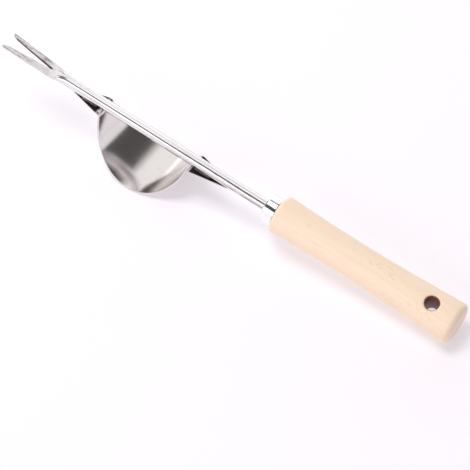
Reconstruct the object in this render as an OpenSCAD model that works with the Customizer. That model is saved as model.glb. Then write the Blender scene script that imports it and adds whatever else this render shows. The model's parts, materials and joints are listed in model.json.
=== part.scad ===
// Hand weeder: a forked steel shaft with a bent fulcrum plate under it, a ferrule
// and a waisted wooden handle. It lies on the bottom of the plate's arch and on the
// lower edge of the butt, with +X along the tool from the fork to the handle, +Z up,
// and the origin under the middle of the whole tool.
//
// Every piece is first drawn in the tool's own straight frame: the shaft's axis is X,
// x = 0 is the middle of the arch, and the plate hangs below the shaft. The module
// lying() then tips the piece into the pose in which the tool rests on the ground.

/* [Shaft] */
// Diameter of the round steel shaft
shaft_d = 7; // [6:0.5:8]
// Distance from the middle of the arch to the front of the ferrule
ferrule_from_arch = 88.5; // [80:0.5:110]
// Length of the tang behind the front of the ferrule
tang_len = 72; // [50:1:90]
// Diameter of the tang at its far end
tang_tip_d = 4.5; // [3.5:0.5:6]

/* [Fork] */
// Distance from the middle of the arch to the tips of the fork
tip_from_arch = 110; // [100:1:120]
// Length of the fork, from the crotch to its tips
fork_len = 35; // [28:1:40]
// Width of the flattened steel at the crotch
crotch_w = 9.4; // [8:0.2:12]
// Width of a tine just behind its tip
tine_w = 2.8; // [2.4:0.2:4]
// Distance across the outer sides of the two tips
tips_w = 12.8; // [10:0.2:18]
// Thickness of the steel at the crotch
crotch_t = 2.8; // [2:0.2:4]
// Thickness of the steel at the tips
tip_t = 1.2; // [0.8:0.1:2]
// Length of the slanted cut on each tine's inner side
tip_bevel_len = 4; // [2:0.5:8]
// Length of the forged neck, where the round shaft becomes flat
neck_len = 11; // [8:1:16]
// Angle by which the fork is bent up from the shaft
fork_lift = 4.5; // [0:0.5:8]

/* [Fulcrum plate] */
// Thickness of the steel sheet
sheet_t = 1.4; // [1:0.1:2]
// Radius of the arch, to the middle of the sheet
arch_r = 34; // [28:1:40]
// Angle from the bottom of the arch to each bend line
arch_half_angle = 77; // [65:1:85]
// Radius of the bends between the arch and its tails, to the middle of the sheet
bend_r = 2.5; // [2:0.5:5]
// Width of the sheet at the bottom of the arch
arch_w = 46; // [36:1:52]
// Width of the sheet at the bend lines
bend_line_w = 13; // [10:1:18]
// Extra reach of the bend lines on the left side
left_shoulder = 1.5; // [0:0.5:3]
// Length of the front tail
front_tail_len = 20.5; // [15:0.5:30]
// Length of the rear tail
rear_tail_len = 25; // [15:1:30]
// Width of a tail's blunt point
tail_point_w = 4; // [1.6:0.2:6]

/* [Welds] */
// Radius of the weld beads beside the shaft
weld_r = 1.2; // [1:0.1:1.6]
// Length of each weld bead
weld_len = 12; // [8:1:14]

/* [Ferrule] */
// Outside diameter of the ferrule
ferrule_d = 17.7; // [16:0.1:20]
// Length of the ferrule, front to back
ferrule_len = 8.3; // [6:0.1:14]
// Wall thickness of the ferrule
ferrule_wall = 1; // [0.8:0.1:1.6]
// Radius of the ferrule's rounded front edge
ferrule_edge_r = 1; // [0.5:0.1:1.5]

/* [Handle] */
// Length of the wood behind the ferrule
handle_len = 120.2; // [105:0.1:140]
// Diameter of the wood just behind its front edge
handle_front_d = 23.8; // [22:0.2:26]
// Diameter of the handle at its waist
handle_waist_d = 21.6; // [20:0.2:24]
// Diameter of the handle just in front of its butt
handle_butt_d = 25; // [24:0.2:30]
// Distance from the front edge of the wood to the waist
waist_from_front = 48; // [35:1:60]
// Radius of the rounded edge at the front of the wood
front_edge_r = 2; // [1:0.5:2.5]
// Radius of the rounded edge at the butt
butt_edge_r = 3.5; // [2:0.5:5]
// Diameter of the hanging hole
hang_hole_d = 8; // [6:0.5:10]
// Distance from the middle of the hanging hole to the butt end
hang_hole_from_butt = 17; // [14:1:30]
// Depth of the flare at each mouth of the hanging hole
hang_flare = 1.6; // [1.2:0.1:2]
// Turn of the hanging hole about the handle, away from square to the plate
hang_hole_turn = 15; // [0:1:20]

/* [Hidden] */

// Finishes
steel_color = [0.78, 0.78, 0.80];
plate_color = [0.84, 0.82, 0.81];
weld_color = [0.45, 0.42, 0.42];
chrome_color = [0.90, 0.90, 0.94];
beech_color = [0.95, 0.82, 0.66];
adhesive_color = [0.80, 0.62, 0.30];

// Number of faces round the pieces that become triangles
smooth_fn = 32;
// Number of sides that stands for a true circle
round_fn = 64;
// Overshoot of a cutting shape past the face that it cuts
cut = 1;

// Shaft and fork along X
shaft_r = shaft_d / 2;
neck_start_x = -(tip_from_arch - fork_len - neck_len);
shaft_behind_ferrule = 5;
shaft_end_x = ferrule_from_arch + ferrule_len + shaft_behind_ferrule;
tang_end_x = ferrule_from_arch + tang_len;
notch_r = 0.8;
tip_blunt_w = 1;

// Fulcrum plate
weld_gap = 0.05;
tail_top_z = -(shaft_r + weld_gap);
tail_z = tail_top_z - sheet_t / 2;
arch_z = tail_z - bend_r + (arch_r + bend_r) * cos(arch_half_angle);
arch_len = arch_r * arch_half_angle * PI / 180;
bend_len = bend_r * arch_half_angle * PI / 180;
bend_x = (arch_r + bend_r) * sin(arch_half_angle);
arch_steps = 24;
bend_steps = 8;

// Weld beads
weld_y = 2.45;
weld_rise = 0.75;
weld_from_bend = 7.5;

// Ferrule and handle along X
ferrule_r = ferrule_d / 2;
wood_x = ferrule_from_arch + ferrule_len;
spigot_x = ferrule_from_arch + ferrule_wall;
spigot_r = ferrule_r - ferrule_wall;
butt_x = wood_x + handle_len;
butt_r = handle_butt_d / 2;
tang_bore_r = shaft_r + 0.6;
tang_bore_end_x = tang_end_x + 3;
hang_hole_x = butt_x - hang_hole_from_butt;
profile_steps = 20;
edge_steps = 6;

// Lying pose: the common tangent under the arch and the rounded butt edge is the ground
arch_outer_r = arch_r + sheet_t / 2;
butt_edge_x = butt_x - butt_edge_r;
butt_edge_z = -(butt_r - butt_edge_r);
ground_dx = butt_edge_x;
ground_dz = butt_edge_z - arch_z;
rest_angle = atan2(ground_dz, ground_dx)
    + asin((arch_outer_r - butt_edge_r) / norm([ground_dx, ground_dz]));
rest_height = arch_outer_r - arch_z * cos(rest_angle);
fork_tip_x = neck_start_x - (neck_len + fork_len) * cos(fork_lift) - sin(fork_lift) * tip_t / 2;
fork_tip_z = (neck_len + fork_len) * sin(fork_lift) - cos(fork_lift) * tip_t / 2;
front_limit_x = fork_tip_x * cos(rest_angle) + fork_tip_z * sin(rest_angle);
rear_limit_x = butt_edge_x * cos(rest_angle) - butt_edge_z * sin(rest_angle) + butt_edge_r;
middle_x = (front_limit_x + rear_limit_x) / 2;

// Tips the tool into its lying pose and puts the origin under its middle
module lying() {
    translate([-middle_x, 0, rest_height])
        rotate([0, rest_angle, 0])
            children();
}

// Turns a shape drawn up the Z axis so that it lies along X from the place x
module along_shaft(x = 0) {
    translate([x, 0, 0])
        rotate([0, 90, 0])
            children();
}

// ---- Forked shaft ----

// Outline of the fork from above, from the crotch at x = 0 to the tips
module fork_outline() {
    difference() {
        polygon([
            [0, -crotch_w / 2], [fork_len, -tips_w / 2],
            [fork_len, tips_w / 2], [0, crotch_w / 2]
        ]);
        translate([notch_r, 0])
            circle(r = notch_r, $fn = round_fn);
        polygon([
            [notch_r, -notch_r],
            [fork_len - tip_bevel_len, -(tips_w / 2 - tine_w)],
            [fork_len + cut, -(tips_w / 2 - tip_blunt_w)],
            [fork_len + cut, tips_w / 2 - tip_blunt_w],
            [fork_len - tip_bevel_len, tips_w / 2 - tine_w],
            [notch_r, notch_r]
        ]);
    }
}

// Side profile of the fork, which thins towards its tips
module fork_side() {
    polygon([
        [0, -crotch_t / 2], [fork_len, -tip_t / 2],
        [fork_len, tip_t / 2], [0, crotch_t / 2]
    ]);
}

module fork() {
    intersection() {
        linear_extrude(height = 2 * crotch_t, center = true)
            fork_outline();
        rotate([90, 0, 0])
            linear_extrude(height = 2 * tips_w, center = true)
                fork_side();
    }
}

module neck() {
    slice = 0.2;
    hull() {
        along_shaft(-slice)
            cylinder(r = shaft_r, h = slice, $fn = smooth_fn);
        rotate([0, -fork_lift, 0])
            translate([neck_len, 0, 0])
                cube([slice, crotch_w, crotch_t], center = true);
    }
}

module tang() {
    along_shaft(shaft_end_x)
        cylinder(r1 = shaft_r, r2 = tang_tip_d / 2, h = tang_end_x - shaft_end_x, $fn = round_fn);
}

module shaft_solid() {
    along_shaft(neck_start_x)
        cylinder(r = shaft_r, h = shaft_end_x - neck_start_x, $fn = round_fn);
    tang();
    translate([neck_start_x, 0, 0])
        mirror([1, 0, 0]) {
            neck();
            rotate([0, -fork_lift, 0])
                translate([neck_len, 0, 0])
                    fork();
        }
}

module forked_shaft() {
    color(steel_color)
        lying()
            shaft_solid();
}

// ---- Fulcrum plate ----

// Slope of the sheet at a distance s along it from the bottom of the arch
function sheet_slope(s) =
    s <= arch_len ? s / arch_r * 180 / PI
    : max(arch_half_angle - (s - arch_len) / bend_r * 180 / PI, 0);

// Place of the middle of the sheet at that distance, as [x, z]
function sheet_mid(s) =
    s <= arch_len
        ? [arch_r * sin(sheet_slope(s)), arch_z - arch_r * cos(sheet_slope(s))]
    : s <= arch_len + bend_len
        ? [bend_x - bend_r * sin(sheet_slope(s)), tail_z - bend_r + bend_r * cos(sheet_slope(s))]
    : [bend_x + s - arch_len - bend_len, tail_z];

// Width of one side of the sheet at that distance, from the middle line to the edge:
// a rounded leaf, then a pointed tail
function side_w(s, tail_len, line_w) =
    let (tail_s = s - arch_len - bend_len)
    s <= arch_len
        ? line_w + (arch_w / 2 - line_w) * cos(90 * s / arch_len)
    : tail_s <= 0 ? line_w
    : line_w + (tail_point_w / 2 - line_w) * tail_s / tail_len;

// Distances of the cross-sections from the bottom of the arch to the end of a tail
function section_places(tail_len) = [
    each [for (i = [1 : arch_steps]) arch_len * i / arch_steps],
    each [for (i = [1 : bend_steps]) arch_len + bend_len * i / bend_steps],
    arch_len + bend_len + tail_len
];

// Corners of the cross-section at distance s, on the rear side (1) or front side (-1)
function section_corners(s, tail_len, side) =
    let (
        mid = sheet_mid(s),
        slope = sheet_slope(s),
        right_w = side_w(s, tail_len, bend_line_w / 2),
        left_w = side_w(s, tail_len, bend_line_w / 2 + left_shoulder),
        rise = [-sin(slope), cos(slope)] * sheet_t / 2
    )
    [
        [side * (mid[0] + rise[0]), -right_w, mid[1] + rise[1]],
        [side * (mid[0] + rise[0]), left_w, mid[1] + rise[1]],
        [side * (mid[0] - rise[0]), left_w, mid[1] - rise[1]],
        [side * (mid[0] - rise[0]), -right_w, mid[1] - rise[1]]
    ];

module plate_solid() {
    front_places = section_places(front_tail_len);
    rear_places = section_places(rear_tail_len);
    front_count = len(front_places);
    sections = [
        each [for (i = [front_count - 1 : -1 : 0])
            section_corners(front_places[i], front_tail_len, -1)],
        section_corners(0, rear_tail_len, 1),
        each [for (s = rear_places) section_corners(s, rear_tail_len, 1)]
    ];
    count = len(sections);
    corner_points = [for (section = sections) each section];
    side_faces = [
        for (i = [0 : count - 2], k = [0 : 3])
            let (a = 4 * i + k, b = 4 * i + (k + 1) % 4)
            each [[a, a + 4, b], [b, a + 4, b + 4]]
    ];
    last = 4 * (count - 1);
    end_faces = [[0, 1, 2, 3], [last + 3, last + 2, last + 1, last]];
    polyhedron(points = corner_points, faces = concat(side_faces, end_faces), convexity = 6);
}

module fulcrum_plate() {
    color(plate_color)
        lying()
            plate_solid();
}

// ---- Welds ----

// A bead in the corner between the shaft and a tail: end is -1 at the front tail and
// 1 at the rear one, and side is -1 or 1 across the tool
module weld_bead(end, side) {
    start_x = end * (bend_x + weld_from_bend) - weld_len / 2 + weld_r;
    bead_len = weld_len - 2 * weld_r;
    color(weld_color)
        lying()
            difference() {
                translate([start_x, side * weld_y, tail_top_z + weld_rise]) {
                    along_shaft()
                        cylinder(r = weld_r, h = bead_len, $fn = round_fn);
                    sphere(r = weld_r, $fn = round_fn);
                    translate([bead_len, 0, 0])
                        sphere(r = weld_r, $fn = round_fn);
                }
                along_shaft(start_x - weld_len)
                    cylinder(r = shaft_r, h = 3 * weld_len, $fn = round_fn);
                translate([start_x - weld_len, -2 * weld_y, tail_top_z - 2 * weld_r])
                    cube([3 * weld_len, 4 * weld_y, 2 * weld_r]);
            }
}

module front_weld_left() weld_bead(-1, 1);
module front_weld_right() weld_bead(-1, -1);
module rear_weld_left() weld_bead(1, 1);
module rear_weld_right() weld_bead(1, -1);

// ---- Ferrule ----

// Outside of the ferrule as a half profile: distance from the axis, then along it
module ferrule_profile() {
    square([ferrule_r - ferrule_edge_r, ferrule_len]);
    translate([0, ferrule_edge_r])
        square([ferrule_r, ferrule_len - ferrule_edge_r]);
    translate([ferrule_r - ferrule_edge_r, ferrule_edge_r])
        circle(r = ferrule_edge_r, $fn = round_fn);
}

module ferrule() {
    shaft_clearance = 0.05;
    color(chrome_color)
        lying()
            along_shaft(ferrule_from_arch)
                difference() {
                    rotate_extrude($fn = round_fn)
                        ferrule_profile();
                    translate([0, 0, ferrule_wall])
                        cylinder(r = spigot_r, h = ferrule_len, $fn = round_fn);
                    translate([0, 0, -cut])
                        cylinder(r = shaft_r + shaft_clearance, h = ferrule_len, $fn = round_fn);
                }
}

// ---- Handle ----

// Radius of the wood at a distance x behind its front face
function wood_r(x) =
    x < waist_from_front
        ? (handle_waist_d + (handle_front_d - handle_waist_d) * pow(1 - x / waist_from_front, 2)) / 2
    : (handle_waist_d + (handle_butt_d - handle_waist_d)
        * pow((x - waist_from_front) / (handle_len - butt_edge_r - waist_from_front), 2)) / 2;

function wood_curve() = [
    for (i = [1 : profile_steps])
        let (x = front_edge_r + (handle_len - butt_edge_r - front_edge_r) * i / profile_steps)
        [wood_r(x), x]
];

// Points of a quarter round edge about the centre c, from the angle start on
function round_edge(c, r, start) = [
    for (i = [0 : edge_steps])
        let (a = start + 90 * i / edge_steps)
        c + r * [cos(a), sin(a)]
];

module handle_profile() {
    spigot_len = wood_x - spigot_x;
    front_c = [wood_r(front_edge_r) - front_edge_r, front_edge_r];
    butt_c = [butt_r - butt_edge_r, handle_len - butt_edge_r];
    polygon([
        [0, -spigot_len], [spigot_r, -spigot_len], [spigot_r, 0],
        each round_edge(front_c, front_edge_r, -90),
        each [for (i = [0 : profile_steps - 2]) wood_curve()[i]],
        each round_edge(butt_c, butt_edge_r, 0),
        [0, handle_len]
    ]);
}

module hanging_hole() {
    mouth_z = wood_r(handle_len - hang_hole_from_butt);
    hole_r = hang_hole_d / 2;
    translate([hang_hole_x, 0, 0])
        rotate([hang_hole_turn, 0, 0]) {
            cylinder(r = hole_r, h = 2 * handle_butt_d, center = true, $fn = round_fn);
            for (end = [0, 1])
                mirror([0, 0, end])
                    translate([0, 0, mouth_z - hang_flare])
                        cylinder(r1 = hole_r, r2 = hole_r + hang_flare + cut,
                            h = hang_flare + cut, $fn = round_fn);
        }
}

module tang_bore() {
    along_shaft(spigot_x)
        cylinder(r = tang_bore_r, h = tang_bore_end_x - spigot_x, $fn = round_fn);
}

module handle() {
    color(beech_color)
        lying()
            difference() {
                along_shaft(wood_x)
                    rotate_extrude($fn = round_fn)
                        handle_profile();
                tang_bore();
                hanging_hole();
            }
}

module tang_adhesive() {
    color(adhesive_color)
        lying()
            difference() {
                tang_bore();
                along_shaft(spigot_x - cut)
                    cylinder(r = shaft_r, h = shaft_end_x - spigot_x + cut, $fn = round_fn);
                tang();
            }
}

forked_shaft();
fulcrum_plate();
front_weld_left();
front_weld_right();
rear_weld_left();
rear_weld_right();
ferrule();
handle();
tang_adhesive();
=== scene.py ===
# %% [markdown]
# # A hand weeder in polished steel and beech
# This notebook dresses a hand weeder that was designed as CAD solids. The solids give
# the frame: where each part is and how big it may be. Every visible part is then
# modelled again here with crisp edges, and finished with procedural materials.

# %% Load the frame
import json
import math

import bmesh
import bpy
from mathutils import Matrix, Vector


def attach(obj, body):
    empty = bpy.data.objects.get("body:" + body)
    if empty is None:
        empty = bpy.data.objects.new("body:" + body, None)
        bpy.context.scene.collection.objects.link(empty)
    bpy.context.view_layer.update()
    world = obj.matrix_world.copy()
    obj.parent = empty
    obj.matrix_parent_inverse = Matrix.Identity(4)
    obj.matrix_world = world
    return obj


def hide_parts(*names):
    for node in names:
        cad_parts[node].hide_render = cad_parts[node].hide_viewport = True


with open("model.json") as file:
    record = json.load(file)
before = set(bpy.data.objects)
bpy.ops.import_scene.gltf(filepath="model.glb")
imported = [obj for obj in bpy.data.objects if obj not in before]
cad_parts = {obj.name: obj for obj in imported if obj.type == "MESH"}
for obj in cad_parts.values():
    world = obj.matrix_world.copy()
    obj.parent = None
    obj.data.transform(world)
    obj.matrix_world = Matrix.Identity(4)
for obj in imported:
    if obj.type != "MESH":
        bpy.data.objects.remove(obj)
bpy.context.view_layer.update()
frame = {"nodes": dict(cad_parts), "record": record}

# %% [markdown]
# ## The tool's own axes
# The weeder lies tipped, handle down, so its parts line up with a slanted line and not
# with the world. It is easier to model it straight and tip it at the end. The frame's
# butt mount gives a point on the tool's axis and the axis itself. From these comes one
# matrix that takes a shape drawn in millimetres, along X, to its real place in metres.
# In the straight frame x = 0 is the middle of the plate's arch.

# %% Matrix from the straight tool to its lying place
MM = 0.001
BUTT_X = 217.0

mounts = {mount["name"]: mount for mount in frame["record"]["mounts"]}
tool_x = Vector(mounts["butt_face"]["axis"]).normalized()
tool_y = Vector((0.0, 1.0, 0.0))
tool_z = tool_x.cross(tool_y)
tool_turn = Matrix((tool_x, tool_y, tool_z)).transposed()
tool_origin = Vector(mounts["butt_face"]["pos_m"]) - tool_x * BUTT_X * MM
TOOL_TO_WORLD = Matrix.Translation(tool_origin) @ tool_turn.to_4x4() @ Matrix.Scale(MM, 4)
print("tool tipped by", round(math.degrees(math.asin(-tool_x.z)), 2), "degrees")

# %% [markdown]
# ## Camera
# A product shot looks down on the tool from the side, with a long lens so that the
# shaft and the handle keep their proportions. The camera is placed by the point that it
# looks at, a direction, a distance and a small roll.

# %% Camera
CAMERA_AIM = Vector((0.0285, -0.0246, 0.020))
CAMERA_AZIMUTH = math.radians(40.2)
CAMERA_ELEVATION = math.radians(53.8)
CAMERA_ROLL = math.radians(-4.45)
CAMERA_DISTANCE = 0.759
CAMERA_LENS = 101.5

camera_back = Vector((
    math.sin(CAMERA_AZIMUTH) * math.cos(CAMERA_ELEVATION),
    -math.cos(CAMERA_AZIMUTH) * math.cos(CAMERA_ELEVATION),
    math.sin(CAMERA_ELEVATION),
))
level_right = Vector((math.cos(CAMERA_AZIMUTH), math.sin(CAMERA_AZIMUTH), 0.0))
level_up = camera_back.cross(level_right)
camera_right = level_right * math.cos(CAMERA_ROLL) + level_up * math.sin(CAMERA_ROLL)
camera_up = camera_back.cross(camera_right)
camera_turn = Matrix((camera_right, camera_up, camera_back)).transposed().to_4x4()

camera_data = bpy.data.cameras.new("camera")
camera_data.sensor_width = 36.0
camera_data.lens = CAMERA_LENS
camera = bpy.data.objects.new("camera", camera_data)
camera.matrix_world = Matrix.Translation(CAMERA_AIM + camera_back * CAMERA_DISTANCE) @ camera_turn
bpy.context.scene.collection.objects.link(camera)
bpy.context.scene.camera = camera
print("camera at", [round(value, 3) for value in camera.matrix_world.translation])

# %% [markdown]
# ## Studio
# Polished steel has no colour of its own: it shows the room. The room here is a white
# sweep whose wall rises a little way above the floor, a dark ceiling, and soft sheets of
# light: a bright one inside a wider one on the far side, one overhead and one on the near
# side. The metal shows the sheets as light bands and the gaps between them as dark lines.
# A small strong lamp overhead lights the wood and the floor. It is kept out of mirror
# reflections, because it would burn a white stripe along the shaft.

# %% Floor
FLOOR_HALF_WIDTH = 3.0

floor_shape = bmesh.new()
bmesh.ops.create_grid(floor_shape, x_segments=1, y_segments=1, size=FLOOR_HALF_WIDTH)
floor_mesh = bpy.data.meshes.new("floor")
floor_shape.to_mesh(floor_mesh)
floor_shape.free()
floor = bpy.data.objects.new("floor", floor_mesh)
bpy.context.scene.collection.objects.link(floor)
floor_paint = bpy.data.materials.new("floor_paint")
floor_paint.use_nodes = True
paint_shader = floor_paint.node_tree.nodes["Principled BSDF"]
paint_shader.inputs["Base Color"].default_value = (0.575, 0.545, 0.585, 1.0)
paint_shader.inputs["Roughness"].default_value = 1.0
paint_shader.inputs["Specular IOR Level"].default_value = 0.0
paint_shader.inputs["Emission Color"].default_value = (1.0, 0.97, 1.0, 1.0)
paint_shader.inputs["Emission Strength"].default_value = 0.42
floor_mesh.materials.append(floor_paint)
print("floor is", 2 * FLOOR_HALF_WIDTH, "m wide")

# %% White sweep below, dark ceiling above
# Heights of the sweep's top as the sine of its angle; it is higher on the near side, at -Y
SWEEP_TOP = 0.33
NEAR_SWEEP_TOP = 0.70
NEAR_SIDE_Y = -0.72
NEAR_SIDE_END_Y = -0.50

room = bpy.data.worlds.new("room")
room.use_nodes = True
room_nodes = room.node_tree.nodes
room_links = room.node_tree.links
sky_place = room_nodes.new("ShaderNodeTexCoord")
sky_parts = room_nodes.new("ShaderNodeSeparateXYZ")
room_links.new(sky_place.outputs["Generated"], sky_parts.inputs["Vector"])
sweep_top = room_nodes.new("ShaderNodeMapRange")
sweep_top.inputs["From Min"].default_value = NEAR_SIDE_Y
sweep_top.inputs["From Max"].default_value = NEAR_SIDE_END_Y
sweep_top.inputs["To Min"].default_value = NEAR_SWEEP_TOP
sweep_top.inputs["To Max"].default_value = SWEEP_TOP
room_links.new(sky_parts.outputs["Y"], sweep_top.inputs["Value"])
above_sweep = room_nodes.new("ShaderNodeMath")
above_sweep.operation = "SUBTRACT"
room_links.new(sky_parts.outputs["Z"], above_sweep.inputs[0])
room_links.new(sweep_top.outputs["Result"], above_sweep.inputs[1])
room_colors = room_nodes.new("ShaderNodeMapRange")
room_colors.data_type = "FLOAT_VECTOR"
# Vector inputs of the node, by number: From Min, From Max, To Min, To Max
room_colors.inputs[7].default_value = (-0.02, -0.02, -0.02)
room_colors.inputs[8].default_value = (0.02, 0.02, 0.02)
room_colors.inputs[9].default_value = (1.0, 0.98, 1.0)
room_colors.inputs[10].default_value = (0.10, 0.095, 0.095)
room_links.new(above_sweep.outputs["Value"], room_colors.inputs["Vector"])
room_links.new(room_colors.outputs["Vector"], room_nodes["Background"].inputs["Color"])
bpy.context.scene.world = room
bpy.context.scene.view_settings.view_transform = "Standard"
print("sweep rises to", round(math.degrees(math.asin(SWEEP_TOP))), "degrees")


# %% Lamps
def soft_lamp(name, azimuth, elevation, distance, width, height, brightness, mirrored=True):
    """Hang a rectangular lamp that faces the tool, with angles in degrees and sizes in metres.

    Brightness is what a mirror would show. A lamp that is not mirrored only lights.
    """
    flat = math.radians(azimuth)
    rise = math.radians(elevation)
    place = distance * Vector((
        math.cos(flat) * math.cos(rise), math.sin(flat) * math.cos(rise), math.sin(rise)
    ))
    lamp_data = bpy.data.lights.new(name, "AREA")
    lamp_data.shape = "RECTANGLE"
    lamp_data.size = width
    lamp_data.size_y = height
    lamp_data.energy = brightness * math.pi * width * height
    lamp = bpy.data.objects.new(name, lamp_data)
    lamp.matrix_world = Matrix.Translation(place) @ place.to_track_quat("Z", "Y").to_matrix().to_4x4()
    lamp.visible_glossy = mirrored
    bpy.context.scene.collection.objects.link(lamp)


soft_lamp("far_window", 122, 38, 1.7, 1.9, 1.4, 0.5)
soft_lamp("far_window_glow", 122, 38, 1.75, 2.4, 1.8, 0.5)
soft_lamp("top_lamp", -160, 77, 1.5, 0.7, 0.6, 8.5, mirrored=False)
soft_lamp("crown_sheet", -178, 79, 1.6, 1.0, 1.0, 1.1)
soft_lamp("near_sheet", -113, 33, 1.5, 1.6, 0.7, 1.1)

# %% [markdown]
# ## Building materials from nodes
# A material is a small circuit: textures feed masks, masks mix colours, and the result
# feeds the shader. A few helpers keep the circuits short: they add a node with its
# settings, mix, mask, or start and place a group that finishes share. Each pattern reads
# object coordinates through a Mapping node that undoes the tool's tipping, so the pattern
# runs along the tool and is measured in millimetres.

# %% Helpers for node circuits
def add_node(tree, kind, values=None, **settings):
    """Add a node, set its properties, and wire or set its inputs by name or number."""
    node = tree.nodes.new(kind)
    for name, value in settings.items():
        setattr(node, name, value)
    for key, value in (values or {}).items():
        if isinstance(value, bpy.types.NodeSocket):
            tree.links.new(value, node.inputs[key])
        else:
            node.inputs[key].default_value = value
    return node


def new_group(name, inputs, outputs):
    """Start a node group with inputs (name: default number or colour) and typed outputs."""
    group = bpy.data.node_groups.new(name, "ShaderNodeTree")
    for socket_name, default in inputs.items():
        kind = "NodeSocketColor" if isinstance(default, tuple) else "NodeSocketFloat"
        socket = group.interface.new_socket(socket_name, in_out="INPUT", socket_type=kind)
        socket.default_value = default
    for socket_name, socket_type in outputs.items():
        group.interface.new_socket(socket_name, in_out="OUTPUT", socket_type=socket_type)
    return group, group.nodes.new("NodeGroupInput"), group.nodes.new("NodeGroupOutput")


def tool_coordinates(tree):
    """Object coordinates turned back to the straight tool, in millimetres."""
    place = add_node(tree, "ShaderNodeTexCoord")
    straight = add_node(
        tree, "ShaderNodeMapping", {"Vector": place.outputs["Object"]}, vector_type="TEXTURE"
    )
    straight.inputs["Location"].default_value = tool_origin
    straight.inputs["Rotation"].default_value = tool_turn.to_euler()
    straight.inputs["Scale"].default_value = (MM, MM, MM)
    return straight.outputs["Vector"]


def stretched(tree, vector, scale):
    """The same coordinates with each axis multiplied, to stretch a pattern."""
    node = add_node(tree, "ShaderNodeVectorMath", {0: vector, 1: scale}, operation="MULTIPLY")
    return node.outputs["Vector"]


def new_finish(name, **values):
    """A material whose shader has the given constant values on its own sockets."""
    material = bpy.data.materials.new(name)
    material.use_nodes = True
    shader = material.node_tree.nodes["Principled BSDF"]
    for key, value in values.items():
        shader.inputs[key.replace("_", " ")].default_value = value
    return material, material.node_tree, shader


def place_group(tree, group, **values):
    """Place a node group in a material and set its inputs."""
    node = add_node(tree, "ShaderNodeGroup", node_tree=group)
    for key, value in values.items():
        node.inputs[key.replace("_", " ")].default_value = value
    return node


def noise(tree, vector, detail, roughness=0.5):
    """Output of a noise whose scale is already in its coordinates."""
    node = add_node(
        tree, "ShaderNodeTexNoise",
        {"Vector": vector, "Scale": 1.0, "Detail": detail, "Roughness": roughness},
    )
    return node.outputs["Fac"]


def mix_colors(tree, factor, first, second):
    """First colour where the factor is 0, second where it is 1; either may be a constant."""
    values = {"Factor": factor}
    for key, color in (("A", first), ("B", second)):
        values[key] = (*color, 1.0) if isinstance(color, tuple) else color
    return add_node(tree, "ShaderNodeMix", values, data_type="RGBA").outputs["Result"]


def ramp(tree, value, low, high):
    """1 where the value is past high, 0 before low, and a soft step between."""
    node = add_node(
        tree, "ShaderNodeMapRange", {"Value": value, "From Min": low, "From Max": high},
        interpolation_type="SMOOTHSTEP",
    )
    return node.outputs["Result"]


def combine(tree, first, second, operation="MULTIPLY", **settings):
    """Two values joined by a maths node."""
    values = {0: first, 1: second}
    return add_node(tree, "ShaderNodeMath", values, operation=operation, **settings).outputs[0]


print("node helpers ready")

# %% [markdown]
# ## Group: fine polishing lines
# Steel that was ground and polished by hand keeps fine lines in the direction of the
# work. A noise that is stretched along the tool looks like them. Broad smudges from
# handling are added to the lines in the roughness. The lines alone give the height of a
# bump.

# %% Polishing lines group
lines_group, lines_in, lines_out = new_group(
    "polishing_lines",
    {"Lines per mm": 5.0, "Length mm": 30.0, "Base roughness": 0.15, "Spread": 0.1},
    {"Roughness": "NodeSocketFloat", "Height": "NodeSocketFloat"},
)
lines_place = tool_coordinates(lines_group)
along = add_node(
    lines_group, "ShaderNodeMath", {0: 1.0, 1: lines_in.outputs["Length mm"]}, operation="DIVIDE"
)
line_scale = add_node(
    lines_group, "ShaderNodeCombineXYZ",
    {"X": along.outputs[0], "Y": lines_in.outputs["Lines per mm"], "Z": lines_in.outputs["Lines per mm"]},
)
line_vector = add_node(
    lines_group, "ShaderNodeVectorMath",
    {0: lines_place, 1: line_scale.outputs["Vector"]}, operation="MULTIPLY",
)
fine_lines = noise(lines_group, line_vector.outputs["Vector"], 3.0, 0.6)
smudges = noise(lines_group, stretched(lines_group, lines_place, (0.06, 0.16, 0.16)), 4.0)
line_part = add_node(
    lines_group, "ShaderNodeMath", {0: fine_lines, 1: 0.6, 2: -0.3}, operation="MULTIPLY_ADD"
)
smudge_part = add_node(
    lines_group, "ShaderNodeMath", {0: smudges, 1: 0.9, 2: -0.45}, operation="MULTIPLY_ADD"
)
variation = combine(lines_group, line_part.outputs[0], smudge_part.outputs[0], "ADD")
roughness_value = add_node(
    lines_group, "ShaderNodeMath",
    {0: variation, 1: lines_in.outputs["Spread"], 2: lines_in.outputs["Base roughness"]},
    operation="MULTIPLY_ADD", use_clamp=True,
)
lines_group.links.new(roughness_value.outputs[0], lines_out.inputs["Roughness"])
lines_group.links.new(fine_lines, lines_out.inputs["Height"])
print("group", lines_group.name, "with", len(lines_group.nodes), "nodes")

# %% [markdown]
# ## Group: tarnish specks
# Handled steel is never perfectly clean: small brownish specks settle on it. The group
# gives a mask of short specks that come in patches.

# %% Tarnish group
tarnish_group, tarnish_in, tarnish_out = new_group(
    "tarnish_specks", {"Amount": 0.5}, {"Mask": "NodeSocketFloat"}
)
tarnish_place = tool_coordinates(tarnish_group)
specks = noise(tarnish_group, stretched(tarnish_group, tarnish_place, (0.6, 2.2, 2.2)), 5.0, 0.7)
patches = noise(tarnish_group, stretched(tarnish_group, tarnish_place, (0.05, 0.2, 0.2)), 2.0)
speck_mask = ramp(tarnish_group, specks, 0.56, 0.72)
patch_mask = ramp(tarnish_group, patches, 0.45, 0.65)
tarnish_mask = combine(
    tarnish_group, combine(tarnish_group, speck_mask, patch_mask), tarnish_in.outputs["Amount"],
    use_clamp=True,
)
tarnish_group.links.new(tarnish_mask, tarnish_out.inputs["Mask"])
print("group", tarnish_group.name, "with", len(tarnish_group.nodes), "nodes")

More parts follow.
